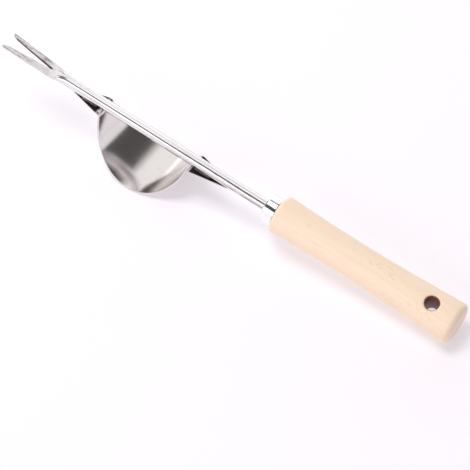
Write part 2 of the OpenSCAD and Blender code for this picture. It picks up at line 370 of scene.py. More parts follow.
# %% [markdown]
# ## Group: drawing streaks
# Bar and sheet leave the mill with long faint streaks, because the die or the roll that
# they were drawn through had small flaws. Polishing thins them out but leaves some dark
# ones. The group stretches a noise so far along the tool that it turns into streaks, and
# breaks each one up so that it fades in and out.

# %% Streaks group
streak_group, streak_in, streak_out = new_group(
    "drawing_streaks", {"Streaks per mm": 0.9, "Threshold": 0.60, "Amount": 0.5},
    {"Mask": "NodeSocketFloat"},
)
streak_place = tool_coordinates(streak_group)
streak_scale = add_node(
    streak_group, "ShaderNodeCombineXYZ",
    {"X": 0.004, "Y": streak_in.outputs["Streaks per mm"], "Z": streak_in.outputs["Streaks per mm"]},
)
streak_vector = add_node(
    streak_group, "ShaderNodeVectorMath",
    {0: streak_place, 1: streak_scale.outputs["Vector"]}, operation="MULTIPLY",
)
streaks = noise(streak_group, streak_vector.outputs["Vector"], 3.0, 0.65)
streak_end = combine(streak_group, streak_in.outputs["Threshold"], 0.06, "ADD")
streak_line = ramp(streak_group, streaks, streak_in.outputs["Threshold"], streak_end)
breaks = noise(streak_group, stretched(streak_group, streak_place, (0.12, 0.9, 0.9)), 3.0)
break_line = add_node(
    streak_group, "ShaderNodeMapRange",
    {"Value": breaks, "From Min": 0.35, "From Max": 0.60, "To Min": 0.25},
)
broken_streaks = combine(streak_group, streak_line, break_line.outputs["Result"])
streak_mask = combine(
    streak_group, broken_streaks, streak_in.outputs["Amount"], use_clamp=True
)
streak_group.links.new(streak_mask, streak_out.inputs["Mask"])
print("group", streak_group.name, "with", len(streak_group.nodes), "nodes")

# %% [markdown]
# ## Steel finishes
# The shaft, the plate and the ferrule are all shiny metal, but not the same one. The
# shaft is polished bar, the plate is satin sheet with a warmer tone, and the ferrule is
# chrome. One function makes all three from the groups, with its own values for each.
# Each also has a place painted with shade, a dark and rougher colour where shade falls:
# the inside of the fork between the tines, the tops of the plate's tails beside the welds,
# and the back rim of the ferrule where it meets the wood. A mask for that place is worked
# out from the tool's own coordinates, and one group mixes in the painted shade.

# %% Painted shade group
shade_group, shade_in, shade_out = new_group(
    "painted_shade",
    {"Mask": 0.0, "Color": (0.8, 0.8, 0.8, 1.0), "Roughness": 0.1,
     "Scale color": (0.1, 0.1, 0.1, 1.0), "Scale roughness": 0.55},
    {"Color": "NodeSocketColor", "Roughness": "NodeSocketFloat"},
)
# The group paints shade: where the mask is 1 it mixes in a dark colour and a higher roughness.
shaded_tint = add_node(
    shade_group, "ShaderNodeMix",
    {"Factor": shade_in.outputs["Mask"], "A": shade_in.outputs["Color"],
     "B": shade_in.outputs["Scale color"]},
    data_type="RGBA",
)
dulled = add_node(
    shade_group, "ShaderNodeMix",
    {"Factor": shade_in.outputs["Mask"], "A": shade_in.outputs["Roughness"],
     "B": shade_in.outputs["Scale roughness"]},
)
shade_group.links.new(shaded_tint.outputs["Result"], shade_out.inputs["Color"])
shade_group.links.new(dulled.outputs["Result"], shade_out.inputs["Roughness"])
print("group", shade_group.name, "with", len(shade_group.nodes), "nodes")


# %% Shared steps of the three metals
def metal_finish(name, clean_tint, stain_tint, lines, streaks, stain_amount):
    """Metal with polishing lines, streaks and tarnish; returns it ready for a painted shade mask."""
    material, tree, shader = new_finish(name, Metallic=1.0)
    polish = place_group(tree, lines_group, **lines)
    streak = place_group(tree, streak_group, **streaks)
    tarnish = place_group(tree, tarnish_group, Amount=stain_amount)
    streaked = mix_colors(tree, streak.outputs["Mask"], clean_tint, (0.12, 0.10, 0.10))
    tint = mix_colors(tree, tarnish.outputs["Mask"], streaked, stain_tint)
    relief = add_node(
        tree, "ShaderNodeBump",
        {"Height": polish.outputs["Height"], "Strength": 0.5, "Distance": 0.00002},
    )
    tree.links.new(relief.outputs["Normal"], shader.inputs["Normal"])
    return material, tree, shader, tint, polish.outputs["Roughness"]


def add_painted_shade(tree, shader, tint, roughness, mask, shade_tint):
    """Place the painted shade group between a metal and its shader."""
    scale = place_group(tree, shade_group, Scale_color=(*shade_tint, 1.0))
    for name, source in (("Mask", mask), ("Color", tint), ("Roughness", roughness)):
        tree.links.new(source, scale.inputs[name])
    for wired, socket_name in (("Color", "Base Color"), ("Roughness", "Roughness")):
        tree.links.new(scale.outputs[wired], shader.inputs[socket_name])


def tool_axes(tree):
    """Sockets for x, y and z on the straight tool, in millimetres."""
    parts = add_node(tree, "ShaderNodeSeparateXYZ", {"Vector": tool_coordinates(tree)})
    return parts.outputs["X"], parts.outputs["Y"], parts.outputs["Z"]


def size_of(tree, value):
    """A value without its sign."""
    return add_node(tree, "ShaderNodeMath", {0: value}, operation="ABSOLUTE").outputs[0]


print("metal helpers ready")

# %% Polished shaft, with painted shade inside the fork
shaft_steel, shaft_tree, shaft_shader, shaft_tint, shaft_roughness = metal_finish(
    "shaft_steel", (0.82, 0.805, 0.81), (0.16, 0.10, 0.07),
    {"Lines_per_mm": 5.0, "Length_mm": 40.0, "Base_roughness": 0.13, "Spread": 0.10},
    {"Streaks_per_mm": 1.1, "Threshold": 0.56, "Amount": 0.75}, 0.95,
)
NOTCH_TIP_X = -106.0
NOTCH_ROOT_X = -75.0
NOTCH_TIP_HALF_W = 3.85
NOTCH_ROOT_HALF_W = 0.65
FORGED_FROM = 62.0
FORGED_FULLY = 82.0
shaft_x, shaft_y, _ = tool_axes(shaft_tree)
shaft_ahead = combine(shaft_tree, shaft_x, -1.0)
notch_edge = add_node(
    shaft_tree, "ShaderNodeMapRange",
    {"Value": shaft_x, "From Min": NOTCH_TIP_X, "From Max": NOTCH_ROOT_X,
     "To Min": NOTCH_TIP_HALF_W, "To Max": NOTCH_ROOT_HALF_W},
)
within_edge = combine(
    shaft_tree, notch_edge.outputs["Result"], size_of(shaft_tree, shaft_y), "SUBTRACT"
)
inside_notch = ramp(shaft_tree, within_edge, -0.05, 0.15)
in_fork = ramp(shaft_tree, shaft_ahead, -NOTCH_ROOT_X - 1.0, -NOTCH_ROOT_X)
# The forged end is a little greyer than the bar, with long brown blotches
forge_place = stretched(shaft_tree, tool_coordinates(shaft_tree), (0.14, 0.45, 0.45))
forge_noise = noise(shaft_tree, forge_place, 5.0, 0.75)
forge_shade = add_node(shaft_tree, "ShaderNodeValToRGB", {"Fac": forge_noise})
forge_shade.color_ramp.elements[0].position = 0.34
forge_shade.color_ramp.elements[0].color = (0.42, 0.34, 0.29, 1.0)
forge_shade.color_ramp.elements[1].position = 0.47
forge_shade.color_ramp.elements[1].color = (0.84, 0.82, 0.83, 1.0)
forged_end = ramp(shaft_tree, shaft_ahead, FORGED_FROM, FORGED_FULLY)
forged_tint = add_node(
    shaft_tree, "ShaderNodeMix", {"Factor": forged_end, "A": shaft_tint},
    data_type="RGBA", blend_type="MULTIPLY",
)
shaft_tree.links.new(forge_shade.outputs["Color"], forged_tint.inputs["B"])
# Painted shade: the inner sides of the tines and the crotch between them are mixed towards a dark, rough
# colour.
add_painted_shade(shaft_tree, shaft_shader, forged_tint.outputs["Result"], shaft_roughness,
          combine(shaft_tree, inside_notch, in_fork), (0.10, 0.065, 0.055))
print("finish", shaft_steel.name)

# %% Satin plate, with painted shade on top of its tails
plate_steel, plate_tree, plate_shader, plate_tint, plate_roughness = metal_finish(
    "plate_steel", (0.74, 0.70, 0.69), (0.34, 0.28, 0.25),
    {"Lines_per_mm": 4.0, "Length_mm": 3.0, "Base_roughness": 0.15, "Spread": 0.12},
    {"Streaks_per_mm": 0.8, "Threshold": 0.62, "Amount": 0.2}, 0.5,
)
BEND_END_X = 34.5
TAIL_TOP_Z = -3.7
plate_x, _, plate_z = tool_axes(plate_tree)
beyond_bend = ramp(plate_tree, size_of(plate_tree, plate_x), BEND_END_X, BEND_END_X + 2.0)
on_top = ramp(plate_tree, plate_z, TAIL_TOP_Z - 0.2, TAIL_TOP_Z)
# Painted shade: the tops of the tails, under the shaft beside the welds, are painted near black.
add_painted_shade(plate_tree, plate_shader, plate_tint, plate_roughness,
          combine(plate_tree, beyond_bend, on_top), (0.045, 0.035, 0.035))
print("finish", plate_steel.name)

# %% Chrome ferrule, with painted shade at its back rim
ferrule_chrome, chrome_tree, chrome_shader, chrome_tint, chrome_roughness = metal_finish(
    "ferrule_chrome", (0.95, 0.95, 0.96), (0.50, 0.46, 0.44),
    {"Lines_per_mm": 3.0, "Length_mm": 4.0, "Base_roughness": 0.05, "Spread": 0.04},
    {"Streaks_per_mm": 0.7, "Threshold": 0.64, "Amount": 0.25}, 0.3,
)
BACK_RIM_X = 96.0
chrome_x, _, _ = tool_axes(chrome_tree)
# Painted shade: the back rim of the cup, next to the wood, is painted dark for the shadow gap there.
back_rim = ramp(chrome_tree, chrome_x, BACK_RIM_X, BACK_RIM_X + 0.3)
add_painted_shade(chrome_tree, chrome_shader, chrome_tint, chrome_roughness, back_rim, (0.10, 0.08, 0.08))
print("finish", ferrule_chrome.name)

# %% [markdown]
# ## Weld metal
# A weld bead is left as it froze: rough and browned by the heat. Its dark colour is partly
# that heat tint and partly painted shade, for the nook under the shaft where it sits. It is
# a separate finish, because its colour changes in patches of a few millimetres and it has
# no polish.

# %% Weld metal
weld_metal, weld_tree, weld_shader = new_finish("weld_metal", Metallic=1.0, Roughness=0.38)
weld_place = tool_coordinates(weld_tree)
heat = add_node(weld_tree, "ShaderNodeTexNoise", {"Vector": weld_place, "Scale": 0.35, "Detail": 2.0})
# Painted shade, partly real heat tint: the bead's colour runs from near black to dark brown.
heat_tint_and_shade = add_node(weld_tree, "ShaderNodeValToRGB", {"Fac": heat.outputs["Fac"]})
heat_tint_and_shade.color_ramp.elements[0].position = 0.3
heat_tint_and_shade.color_ramp.elements[0].color = (0.07, 0.06, 0.07, 1.0)
heat_tint_and_shade.color_ramp.elements[1].position = 0.7
heat_tint_and_shade.color_ramp.elements[1].color = (0.22, 0.17, 0.14, 1.0)
weld_grain = add_node(weld_tree, "ShaderNodeTexNoise", {"Vector": weld_place, "Scale": 3.0, "Detail": 4.0})
weld_relief = add_node(
    weld_tree, "ShaderNodeBump",
    {"Height": weld_grain.outputs["Fac"], "Strength": 0.6, "Distance": 0.0001},
)
weld_tree.links.new(heat_tint_and_shade.outputs["Color"], weld_shader.inputs["Base Color"])
weld_tree.links.new(weld_relief.outputs["Normal"], weld_shader.inputs["Normal"])
print("finish", weld_metal.name)

# %% [markdown]
# ## Beech
# Beech is pale and even. What makes it beech is its rays: short brown flecks, a few
# millimetres long, that lie along the grain. Under them run faint growth rings.
# Both are solid textures that go through the wood, so the butt and the hole show the
# same rings cut across. The walls of the drilled hole and a thin ring round its mouths
# are darker: painted shade, for the shade inside the hole.

# %% Beech figure group
beech_group, beech_in, beech_out = new_group(
    "beech_figure", {"Fleck strength": 0.8, "Ring strength": 0.5},
    {"Color": "NodeSocketColor", "Roughness": "NodeSocketFloat", "Height": "NodeSocketFloat"},
)
beech_place = tool_coordinates(beech_group)
drift = add_node(
    beech_group, "ShaderNodeTexNoise",
    {"Vector": stretched(beech_group, beech_place, (0.03, 0.12, 0.12)), "Scale": 1.0, "Detail": 4.0},
)
ring_vector = add_node(
    beech_group, "ShaderNodeVectorMath",
    {0: stretched(beech_group, beech_place, (0.006, 0.16, 0.30)), 1: drift.outputs["Color"]},
    operation="ADD",
)
rings = add_node(
    beech_group, "ShaderNodeTexWave",
    {"Vector": ring_vector.outputs["Vector"], "Scale": 0.45, "Distortion": 2.2, "Detail": 2.0,
     "Detail Scale": 1.2},
    wave_type="BANDS", bands_direction="Z", wave_profile="SAW",
)
fibres = noise(beech_group, stretched(beech_group, beech_place, (0.035, 2.4, 2.4)), 4.0, 0.6)
flecks = add_node(
    beech_group, "ShaderNodeTexVoronoi",
    {"Vector": stretched(beech_group, beech_place, (0.16, 1.5, 1.5)), "Scale": 1.0, "Randomness": 1.0},
    feature="F1",
)
fleck_shape = add_node(
    beech_group, "ShaderNodeMapRange",
    {"Value": flecks.outputs["Distance"], "From Min": 0.26, "From Max": 0.10},
    interpolation_type="SMOOTHSTEP",
)
fleck_patches = noise(beech_group, stretched(beech_group, beech_place, (0.05, 0.16, 0.16)), 3.0)
fleck_area = ramp(beech_group, fleck_patches, 0.50, 0.66)
fleck_mask = combine(beech_group, fleck_shape.outputs["Result"], fleck_area)
fleck_amount = combine(beech_group, fleck_mask, beech_in.outputs["Fleck strength"])
pale = mix_colors(beech_group, drift.outputs["Fac"], (0.93, 0.79, 0.62), (0.92, 0.71, 0.56))
ring_amount = combine(beech_group, rings.outputs["Fac"], beech_in.outputs["Ring strength"])
ringed = mix_colors(beech_group, ring_amount, pale, (0.90, 0.66, 0.47))
fibre_amount = add_node(
    beech_group, "ShaderNodeMapRange",
    {"Value": fibres, "From Min": 0.35, "From Max": 0.75, "To Min": 0.0, "To Max": 0.42},
)
fibred = mix_colors(beech_group, fibre_amount.outputs["Result"], ringed, (0.84, 0.62, 0.44))
flecked = mix_colors(beech_group, fleck_amount, fibred, (0.50, 0.30, 0.16))
beech_roughness = add_node(
    beech_group, "ShaderNodeMapRange",
    {"Value": fibres, "To Min": 0.38, "To Max": 0.52},
)
beech_group.links.new(flecked, beech_out.inputs["Color"])
beech_group.links.new(beech_roughness.outputs["Result"], beech_out.inputs["Roughness"])
beech_group.links.new(fibres, beech_out.inputs["Height"])
print("group", beech_group.name, "with", len(beech_group.nodes), "nodes")

# %% Beech finish, with painted shade inside the hanging hole
hole_mount = mounts["hanging_hole"]
hole_centre = Vector(hole_mount["pos_m"])
hole_axis = Vector(hole_mount["axis"]).normalized()
hole_r = hole_mount["dims"]["r_mm"]
hole_turn = hole_axis.to_track_quat("Z", "Y").to_matrix()

beech, beech_tree, beech_shader = new_finish("beech", Coat_Weight=0.06, Coat_Roughness=0.25)
figure = place_group(beech_tree, beech_group, Fleck_strength=0.8, Ring_strength=0.35)
hole_place = add_node(
    beech_tree, "ShaderNodeMapping",
    {"Vector": add_node(beech_tree, "ShaderNodeTexCoord").outputs["Object"]}, vector_type="TEXTURE",
)
hole_place.inputs["Location"].default_value = hole_centre
hole_place.inputs["Rotation"].default_value = hole_turn.to_euler()
hole_place.inputs["Scale"].default_value = (MM, MM, MM)
flat_place = stretched(beech_tree, hole_place.outputs["Vector"], (1.0, 1.0, 0.0))
from_hole = add_node(beech_tree, "ShaderNodeVectorMath", {0: flat_place}, operation="LENGTH")
# Painted shade: the hole's walls and a thin ring round its mouths are mixed towards dark brown.
hole_shade = add_node(
    beech_tree, "ShaderNodeMapRange",
    {"Value": from_hole.outputs["Value"], "From Min": hole_r + 0.9, "From Max": hole_r + 0.1,
     "To Max": 0.95},
    interpolation_type="SMOOTHSTEP",
)
wood_color = mix_colors(
    beech_tree, hole_shade.outputs["Result"], figure.outputs["Color"], (0.26, 0.065, 0.035)
)
wood_relief = add_node(
    beech_tree, "ShaderNodeBump",
    {"Height": figure.outputs["Height"], "Strength": 0.25, "Distance": 0.0001},
)
beech_tree.links.new(wood_color, beech_shader.inputs["Base Color"])
beech_tree.links.new(figure.outputs["Roughness"], beech_shader.inputs["Roughness"])
beech_tree.links.new(wood_relief.outputs["Normal"], beech_shader.inputs["Normal"])
print("finish", beech.name)

# %% [markdown]
# ## Epoxy
# The adhesive round the tang is hidden inside the handle. It keeps its CAD shape, which
# is exact, and only gets a cloudy amber finish, for anyone who takes the tool apart.

# %% Epoxy finish on the CAD solid
epoxy, epoxy_tree, epoxy_shader = new_finish("epoxy", Roughness=0.3)
cloud = add_node(
    epoxy_tree, "ShaderNodeTexNoise", {"Vector": tool_coordinates(epoxy_tree), "Scale": 0.3, "Detail": 3.0}
)
amber = add_node(epoxy_tree, "ShaderNodeValToRGB", {"Fac": cloud.outputs["Fac"]})
amber.color_ramp.elements[0].color = (0.45, 0.24, 0.06, 1.0)
amber.color_ramp.elements[1].color = (0.72, 0.48, 0.18, 1.0)
epoxy_tree.links.new(amber.outputs["Color"], epoxy_shader.inputs["Base Color"])
adhesive = frame["nodes"]["tang_adhesive"]
adhesive.data.materials.clear()
adhesive.data.materials.append(epoxy)
print("adhesive keeps its CAD shape")


# %% [markdown]
# ## From a bmesh to a finished piece
# Every piece ends the same way: its doubles are merged, its faces are turned outwards,
# it is moved from the straight tool to its lying place and hung under the root, and the CAD
# part that it stands for is hidden. The object itself stays at the origin.

# %% Finish a piece
def finish_piece(shape, name, material, nodes, sharp_degrees=None):
    """Make an object from a shape drawn on the straight tool."""
    bmesh.ops.remove_doubles(shape, verts=shape.verts, dist=0.0005)
    bmesh.ops.recalc_face_normals(shape, faces=shape.faces)
    bmesh.ops.transform(shape, matrix=TOOL_TO_WORLD, verts=shape.verts)
    mesh = bpy.data.meshes.new(name)
    shape.to_mesh(mesh)
    shape.free()
    mesh.materials.append(material)
    mesh.shade_smooth()
    if sharp_degrees:
        mesh.set_sharp_from_angle(angle=math.radians(sharp_degrees))
    piece = bpy.data.objects.new(name, mesh)
    bpy.context.scene.collection.objects.link(piece)
    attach(piece, "root")
    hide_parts(*nodes)
    print(name, "has", len(mesh.polygons), "faces")
    return piece


def quarter_round(centre_x, centre_r, radius, start_degrees, steps):
    """Points (x, r) of a quarter circle, for the rounded edge of a turned part."""
    points = []
    for step in range(steps + 1):
        angle = math.radians(start_degrees + 90.0 * step / steps)
        points.append((centre_x + radius * math.cos(angle), centre_r + radius * math.sin(angle)))
    return points


def turned_shape(profile, steps, closed=False):
    """Spin a profile of (x, r) points round the tool's axis, as a lathe would."""
    shape = bmesh.new()
    corners = [shape.verts.new((x, 0.0, r)) for x, r in profile]
    for first, second in zip(corners, corners[1:]):
        shape.edges.new((first, second))
    if closed:
        shape.edges.new((corners[-1], corners[0]))
    bmesh.ops.spin(
        shape, geom=shape.verts[:] + shape.edges[:], cent=(0, 0, 0), axis=(1, 0, 0), dvec=(0, 0, 0),
        angle=math.tau, steps=steps, use_merge=True, use_duplicate=False,
    )
    return shape


print("piece helpers ready")

# %% [markdown]
# ## Ferrule
# A ferrule is a short chromed cup, pressed over the end of the wood so that the wood
# can't split. It is a turned part: one closed profile, spun round the axis. Its front
# edge is drawn round, and its back edge is only broken, where it meets the wood.

# %% Model the ferrule
FERRULE_X = 88.5
FERRULE_LEN = 8.3
FERRULE_R = 8.85
FERRULE_WALL = 1.0
FRONT_ROUNDING = 1.3
SHAFT_CLEARANCE = 0.06
EDGE_BREAK = 0.25
FIT_GAP = 0.02
SHAFT_R = 3.5
wood_x = FERRULE_X + FERRULE_LEN

front_edge = quarter_round(
    FERRULE_X + FRONT_ROUNDING, FERRULE_R - FRONT_ROUNDING, FRONT_ROUNDING, 180, 8
)
ferrule_profile = (
    [(FERRULE_X + EDGE_BREAK, SHAFT_R + SHAFT_CLEARANCE), (FERRULE_X, SHAFT_R + 0.35)]
    + [(x, 2 * (FERRULE_R - FRONT_ROUNDING) - r) for x, r in front_edge]
    + [
        (FERRULE_X + 2.2, FERRULE_R), (wood_x - 1.0, FERRULE_R),
        (wood_x - EDGE_BREAK, FERRULE_R - FIT_GAP), (wood_x - FIT_GAP, FERRULE_R - EDGE_BREAK),
        (wood_x - FIT_GAP, FERRULE_R - FERRULE_WALL),
        (FERRULE_X + FERRULE_WALL, FERRULE_R - FERRULE_WALL),
        (FERRULE_X + FERRULE_WALL, SHAFT_R + SHAFT_CLEARANCE),
    ]
)
ferrule = finish_piece(
    turned_shape(ferrule_profile, 96, closed=True), "ferrule_cup", ferrule_chrome,
    ["ferrule"], sharp_degrees=50,
)

# %% [markdown]
# ## Handle
# The handle is turned too, with a waist that the fingers close round and a swelling at
# the butt that stops it from slipping. Two parabolas that meet at the waist draw it. The
# hanging hole is then cut with a Boolean modifier, which needs a fine mesh round the
# hole, so those faces are subdivided first.

# %% Handle profile
HANDLE_LEN = 120.2
FRONT_R = 11.9
WAIST_R = 10.8
BUTT_R = 12.5
WAIST_FROM_FRONT = 48.0
FRONT_EDGE_R = 2.0
BUTT_EDGE_R = 3.5
TANG_BORE_R = 4.1
TANG_BORE_END_X = 163.5


def wood_radius(x):
    """Radius of the turned wood at a distance x behind its front face."""
    if x < WAIST_FROM_FRONT:
        return WAIST_R + (FRONT_R - WAIST_R) * (1 - x / WAIST_FROM_FRONT) ** 2
    swell = (x - WAIST_FROM_FRONT) / (HANDLE_LEN - BUTT_EDGE_R - WAIST_FROM_FRONT)
    return WAIST_R + (BUTT_R - WAIST_R) * swell ** 2


CURVE_STEPS = 90
curve_len = HANDLE_LEN - FRONT_EDGE_R - BUTT_EDGE_R
curve_points = []
for step in range(1, CURVE_STEPS):
    from_front = FRONT_EDGE_R + curve_len * step / CURVE_STEPS
    curve_points.append((wood_x + from_front, wood_radius(from_front)))
front_r = wood_radius(FRONT_EDGE_R)
spigot_x = FERRULE_X + FERRULE_WALL + FIT_GAP
spigot_r = FERRULE_R - FERRULE_WALL - FIT_GAP
front_round = quarter_round(wood_x + FRONT_EDGE_R, front_r - FRONT_EDGE_R, FRONT_EDGE_R, 90, 8)
# The butt stops a hair short of the CAD model, so that it stays inside its box
WOOD_END_X = BUTT_X - 0.03
butt_round = quarter_round(WOOD_END_X - BUTT_EDGE_R, BUTT_R - BUTT_EDGE_R, BUTT_EDGE_R, 0, 10)
handle_profile = (
    [(TANG_BORE_END_X, 0.0), (TANG_BORE_END_X, TANG_BORE_R), (spigot_x, TANG_BORE_R),
     (spigot_x, spigot_r), (wood_x, spigot_r)]
    + front_round[::-1] + curve_points + butt_round[::-1] + [(WOOD_END_X, 0.0)]
)
handle_shape = turned_shape(handle_profile, 112)
print("handle profile has", len(handle_profile), "points")

# %% Cut the hanging hole and round its mouths
HOLE_ROUNDING = 1.5
ROUNDING_DEPTH_SHARE = 0.8
FINE_MESH_MARGIN = 4.0
world_to_hole = (Matrix.Translation(hole_centre) @ hole_turn.to_4x4() @ Matrix.Scale(MM, 4)).inverted()


def radius_from_hole(world_place):
    """Distance in millimetres from the axis of the hanging hole."""
    place = world_to_hole @ world_place
    return math.hypot(place.x, place.y)


near_hole = [
    face for face in handle_shape.faces
    if radius_from_hole(TOOL_TO_WORLD @ face.calc_center_median()) < hole_r + FINE_MESH_MARGIN
    and math.hypot(face.calc_center_median().y, face.calc_center_median().z) > WAIST_R
]
near_edges = list({edge for face in near_hole for edge in face.edges})
bmesh.ops.subdivide_edges(handle_shape, edges=near_edges, cuts=3, use_grid_fill=True)
handle = finish_piece(handle_shape, "beech_handle", beech, ["handle"])

drill_shape = bmesh.new()
bmesh.ops.create_cone(
    drill_shape, cap_ends=True, segments=96, radius1=hole_r, radius2=hole_r, depth=60.0
)
bmesh.ops.transform(drill_shape, matrix=world_to_hole.inverted(), verts=drill_shape.verts)
drill_mesh = bpy.data.meshes.new("drill")
drill_shape.to_mesh(drill_mesh)
drill_shape.free()
drill = bpy.data.objects.new("drill", drill_mesh)
bpy.context.scene.collection.objects.link(drill)
drilling = handle.modifiers.new("drilling", "BOOLEAN")
drilling.object = drill
drilling.operation = "DIFFERENCE"
drilling.solver = "EXACT"
evaluated = handle.evaluated_get(bpy.context.evaluated_depsgraph_get())
drilled_mesh = bpy.data.meshes.new_from_object(evaluated)
handle.modifiers.clear()
handle.data = drilled_mesh
bpy.data.objects.remove(drill)

rounded = bmesh.new()
rounded.from_mesh(drilled_mesh)
sunk = 0
for vert in rounded.verts:
    from_axis = radius_from_hole(vert.co)
    place = world_to_hole @ vert.co
    at_skin = abs(place.z) > WAIST_R - HOLE_ROUNDING
    if at_skin and from_axis < hole_r + HOLE_ROUNDING:
        inwards = (hole_r + HOLE_ROUNDING - from_axis) / HOLE_ROUNDING
        sink = HOLE_ROUNDING * (1 - math.sqrt(max(0.0, 1 - min(inwards, 1.0) ** 2)))
        place.z -= math.copysign(ROUNDING_DEPTH_SHARE * sink, place.z)
        vert.co = world_to_hole.inverted() @ place
        sunk += 1
rounded.to_mesh(drilled_mesh)
rounded.free()
drilled_mesh.shade_smooth()
drilled_mesh.set_sharp_from_angle(angle=math.radians(55))
print("drilled handle has", len(drilled_mesh.polygons), "faces,", sunk, "points rounded at the mouths")

# %% [markdown]
# ## Fulcrum plate
# The plate starts as flat sheet, cut to a leaf with a long point at each end, and is
# bent over a former. The code does the same: a flat grid gets the leaf's outline, then
# each of its points is rolled round the arch and the two tight bends. Solidify gives it
# its thickness and Bevel breaks the cut edges, which is where real sheet catches light.

# %% Bend the plate
ARCH_R = 34.0
ARCH_HALF_ANGLE = math.radians(77.0)
BEND_R = 2.5
SHEET_T = 1.39
ARCH_W = 46.0
BEND_LINE_W = 13.0
FRONT_TAIL_LEN = 20.5
REAR_TAIL_LEN = 25.0
TAIL_POINT_W = 4.0
LEFT_SHOULDER = 1.5
WELD_GAP = 0.05

tail_z = -(SHAFT_R + WELD_GAP + SHEET_T / 2)
arch_z = tail_z - BEND_R + (ARCH_R + BEND_R) * math.cos(ARCH_HALF_ANGLE)
bend_x = (ARCH_R + BEND_R) * math.sin(ARCH_HALF_ANGLE)
arch_len = ARCH_R * ARCH_HALF_ANGLE
bend_len = BEND_R * ARCH_HALF_ANGLE
flat_from = arch_len + bend_len


def bent_place(distance):
    """Where a point of the flat sheet goes, as (x, z), for a distance from the arch's middle."""
    if distance <= arch_len:
        turn = distance / ARCH_R
        return ARCH_R * math.sin(turn), arch_z - ARCH_R * math.cos(turn)
    if distance <= flat_from:
        turn = ARCH_HALF_ANGLE - (distance - arch_len) / BEND_R
        return bend_x - BEND_R * math.sin(turn), tail_z - BEND_R + BEND_R * math.cos(turn)
    return bend_x + distance - flat_from, tail_z


def side_width(distance, tail_len, line_w):
    """Width of one side of the flat leaf at that distance, from its middle line."""
    if distance <= arch_len:
        leaf = math.cos(math.pi / 2 * distance / arch_len)
        return line_w + (ARCH_W / 2 - line_w) * leaf
    if distance <= flat_from:
        return line_w
    return line_w + (TAIL_POINT_W / 2 - line_w) * (distance - flat_from) / tail_len


front_end = flat_from + FRONT_TAIL_LEN
rear_end = flat_from + REAR_TAIL_LEN
sheet = bmesh.new()
bmesh.ops.create_grid(sheet, x_segments=330, y_segments=10, size=1.0)
for vert in sheet.verts:
    flat = -front_end + (rear_end + front_end) * (vert.co.x + 1) / 2
    side = 1 if flat >= 0 else -1
    tail_len = REAR_TAIL_LEN if flat >= 0 else FRONT_TAIL_LEN
    line_w = BEND_LINE_W / 2 + (LEFT_SHOULDER if vert.co.y > 0 else 0.0)
    x, z = bent_place(abs(flat))
    vert.co = (side * x, vert.co.y * side_width(abs(flat), tail_len, line_w), z)
plate = finish_piece(sheet, "bent_plate", plate_steel, ["fulcrum_plate"])
thickness = plate.modifiers.new("thickness", "SOLIDIFY")
thickness.thickness = SHEET_T * MM
thickness.offset = 0.0
thickness.use_even_offset = True
broken_edges = plate.modifiers.new("broken_edges", "BEVEL")
broken_edges.width = 0.25 * MM
broken_edges.segments = 3
broken_edges.limit_method = "ANGLE"
broken_edges.angle_limit = math.radians(50)
broken_edges.harden_normals = True
print("plate is", round(front_end + rear_end, 1), "mm long when flat")

# %% [markdown]
# ## Forked shaft
# A smith makes the fork from the same round bar: the end is heated, flattened, split
# and spread. The model follows the same steps on a cage of eight points round, which a
# Subdivision Surface then rounds off. The bar is extruded towards the fork, flattened at
# the neck, its end face is split in two, and each half is drawn out to a tine. Creases
# keep the forged edges crisp.

# %% Draw out the bar
TANG_END_X = 160.5
TANG_TIP_R = 2.25
SHAFT_END_X = 101.8
NECK_START_X = -64.0
NECK_LEN = 11.0
FORK_LEN = 35.0
CROTCH_W = 9.4
CROTCH_T = 2.8
TINE_W = 2.8
TIPS_W = 12.8
# The tips are a hair thinner than in the CAD model, so that they stay inside its box,
# and 0.7 mm wider at the very end, where the real ones look blunter
TIP_T = 1.14
TIP_BEVEL_LEN = 4.0
TIP_BLUNT_W = 1.7
FORK_LIFT = math.radians(4.5)
# An eight-sided cage shrinks to this share of its size when it is subdivided
CAGE_SHRINK = 0.902


def sign(value, limit=0.05):
    """-1, 0 or 1, with values close to nought taken as nought."""
    return 0 if abs(value) < limit else math.copysign(1, value)


def shape_ring(face, x, half_w, half_t, corner):
    """Put the eight corners of an end face on a flattened ring; corner 0.7071 is round."""
    for vert in face.verts:
        across, up = sign(vert.co.y), sign(vert.co.z)
        vert.co.x = x
        vert.co.y = across * half_w * (corner if up else 1.0)
        vert.co.z = up * half_t * (corner if across else 1.0)


def draw_out(shape, face):
    """Extrude an end face and return the new end face; no wall is left inside."""
    result = bmesh.ops.extrude_face_region(shape, geom=[face])
    if face.is_valid and all(len(edge.link_faces) > 2 for edge in face.edges):
        bmesh.ops.delete(shape, geom=[face], context="FACES_ONLY")
    return next(item for item in result["geom"] if isinstance(item, bmesh.types.BMFace))


ROUND = math.sqrt(0.5)
bar = bmesh.new()
bmesh.ops.create_circle(
    bar, cap_ends=True, segments=8, radius=1.0, matrix=Matrix.Rotation(math.pi / 2, 4, "Y")
)
bar.faces.ensure_lookup_table()
end_face = bar.faces[0]
cage_r = SHAFT_R / CAGE_SHRINK
tang_r = TANG_TIP_R / CAGE_SHRINK
shape_ring(end_face, TANG_END_X, tang_r, tang_r, ROUND)
stations = [
    (TANG_END_X - 0.4, tang_r, tang_r, ROUND),
    (SHAFT_END_X + 1.0, cage_r, cage_r, ROUND),
    (SHAFT_END_X - 1.0, cage_r, cage_r, ROUND),
    (0.0, cage_r, cage_r, ROUND),
    (NECK_START_X + 5.0, cage_r, cage_r, ROUND),
    (NECK_START_X + 1.0, cage_r * 1.01, cage_r * 0.98, ROUND),
    (NECK_START_X - 3.5, cage_r * 1.10, cage_r * 0.74, 0.80),
    (NECK_START_X - 7.5, CROTCH_W / 2 * 0.98, CROTCH_T / 2 * 1.25, 0.93),
    (NECK_START_X - NECK_LEN, CROTCH_W / 2, CROTCH_T / 2, 1.0),
]
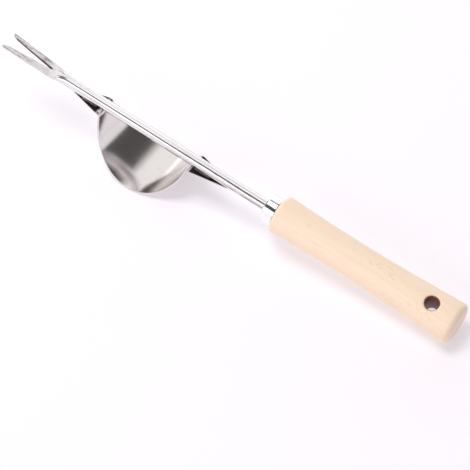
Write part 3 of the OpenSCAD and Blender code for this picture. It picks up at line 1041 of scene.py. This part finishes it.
for x, half_w, half_t, corner in stations:
    end_face = draw_out(bar, end_face)
    shape_ring(end_face, x, half_w, half_t, corner)
print("bar drawn out through", len(stations), "rings")

# %% Split the end and draw out the tines
middle_verts = [vert for vert in end_face.verts if sign(vert.co.y) == 0]
bmesh.ops.connect_verts(bar, verts=middle_verts)
crotch_x = NECK_START_X - NECK_LEN
half_faces = [
    face for face in bar.faces
    if all(abs(vert.co.x - crotch_x) < 0.01 for vert in face.verts)
]
tine_faces = bmesh.ops.extrude_discrete_faces(bar, faces=half_faces)["faces"]
CROTCH_HALF_GAP = 0.5
bevel_from = FORK_LEN - TIP_BEVEL_LEN
inner_at_bevel = TIPS_W / 2 - TINE_W


def tine_section(from_crotch):
    """Inner edge, outer edge and half thickness of a tine at a distance from the crotch."""
    share = from_crotch / FORK_LEN
    outer = CROTCH_W / 2 + (TIPS_W - CROTCH_W) / 2 * share
    half_t = (CROTCH_T + (TIP_T - CROTCH_T) * share) / 2
    if from_crotch <= bevel_from:
        inner = CROTCH_HALF_GAP + (inner_at_bevel - CROTCH_HALF_GAP) * from_crotch / bevel_from
    else:
        cut = (from_crotch - bevel_from) / TIP_BEVEL_LEN
        inner = inner_at_bevel + (TIPS_W / 2 - TIP_BLUNT_W - inner_at_bevel) * cut
    return inner, outer, half_t


def shape_tine(face, from_crotch):
    """Put an end face of a tine on its section; its corners keep to their own edge."""
    inner, outer, half_t = tine_section(from_crotch)
    widths = [abs(vert.co.y) for vert in face.verts]
    halfway = (min(widths) + max(widths)) / 2
    hand = sign(sum(vert.co.y for vert in face.verts))
    for vert in face.verts:
        vert.co.x = crotch_x - from_crotch
        vert.co.y = hand * (inner if abs(vert.co.y) < halfway else outer)
        vert.co.z = sign(vert.co.z) * half_t


TINE_STATIONS = (8.0, 16.0, 24.0, bevel_from - 0.4, bevel_from + 0.4, FORK_LEN - 0.6, FORK_LEN - 0.1)
for tine_face in tine_faces:
    shape_tine(tine_face, 1.2)
    for from_crotch in TINE_STATIONS:
        tine_face = draw_out(bar, tine_face)
        shape_tine(tine_face, from_crotch)
print("fork has", len(tine_faces), "tines")

# %% Crease the forged edges, bend the fork up and finish
CREASE_ANGLE = math.radians(38)
TINE_CREASE = 0.85
NECK_CREASE = 0.55
crease = bar.edges.layers.float.new("crease_edge")
bmesh.ops.recalc_face_normals(bar, faces=bar.faces)
for edge in bar.edges:
    middle_x = (edge.verts[0].co.x + edge.verts[1].co.x) / 2
    if len(edge.link_faces) != 2 or middle_x > NECK_START_X - 5.0:
        continue
    if edge.calc_face_angle() > CREASE_ANGLE:
        edge[crease] = TINE_CREASE if middle_x < crotch_x + 1.0 else NECK_CREASE
for vert in bar.verts:
    ahead = NECK_START_X - vert.co.x
    if ahead > 0:
        vert.co.z += ahead * math.tan(FORK_LIFT)
shaft = finish_piece(bar, "forged_shaft", shaft_steel, ["forked_shaft"])
rounding = shaft.modifiers.new("rounding", "SUBSURF")
rounding.levels = 4
rounding.render_levels = 4

# %% [markdown]
# ## Welds
# Four short beads hold the plate's tails to the shaft. A weld bead freezes in ripples,
# one for each dab of the torch, so each bead is a stretched ball with a wave along it.

# %% Model the weld beads
WELD_R = 1.2
WELD_LEN = 12.0
WELD_Y = 2.45
WELD_RISE = 0.75
WELD_FROM_BEND = 7.5
RIPPLE_PITCH = 0.9
RIPPLE_DEPTH = 0.07

for end, end_name in ((-1, "front"), (1, "rear")):
    for side, side_name in ((1, "left"), (-1, "right")):
        bead = bmesh.new()
        bmesh.ops.create_uvsphere(
            bead, u_segments=24, v_segments=96, radius=1.0, matrix=Matrix.Rotation(math.pi / 2, 4, "Y")
        )
        for vert in bead.verts:
            x = vert.co.x * WELD_LEN / 2
            straight_part = WELD_LEN / 2 - WELD_R
            beyond = max(0.0, abs(x) - straight_part) / WELD_R
            reach = WELD_R * math.sqrt(max(0.0, 1 - beyond ** 2))
            ripple = RIPPLE_DEPTH * math.cos(math.tau * x / RIPPLE_PITCH + 2 * vert.co.y)
            around = math.hypot(vert.co.y, vert.co.z)
            share = 1 - (RIPPLE_DEPTH - ripple) / WELD_R
            swell = reach * share / around if around > 1e-6 else 0.0
            vert.co = (x, vert.co.y * swell, vert.co.z * swell)
        bmesh.ops.translate(
            bead, verts=bead.verts,
            vec=(end * (bend_x + WELD_FROM_BEND), side * WELD_Y, -(SHAFT_R + WELD_GAP) + WELD_RISE),
        )
        finish_piece(
            bead, f"{end_name}_{side_name}_bead", weld_metal,
            [f"{end_name}_weld_{side_name}"],
        )
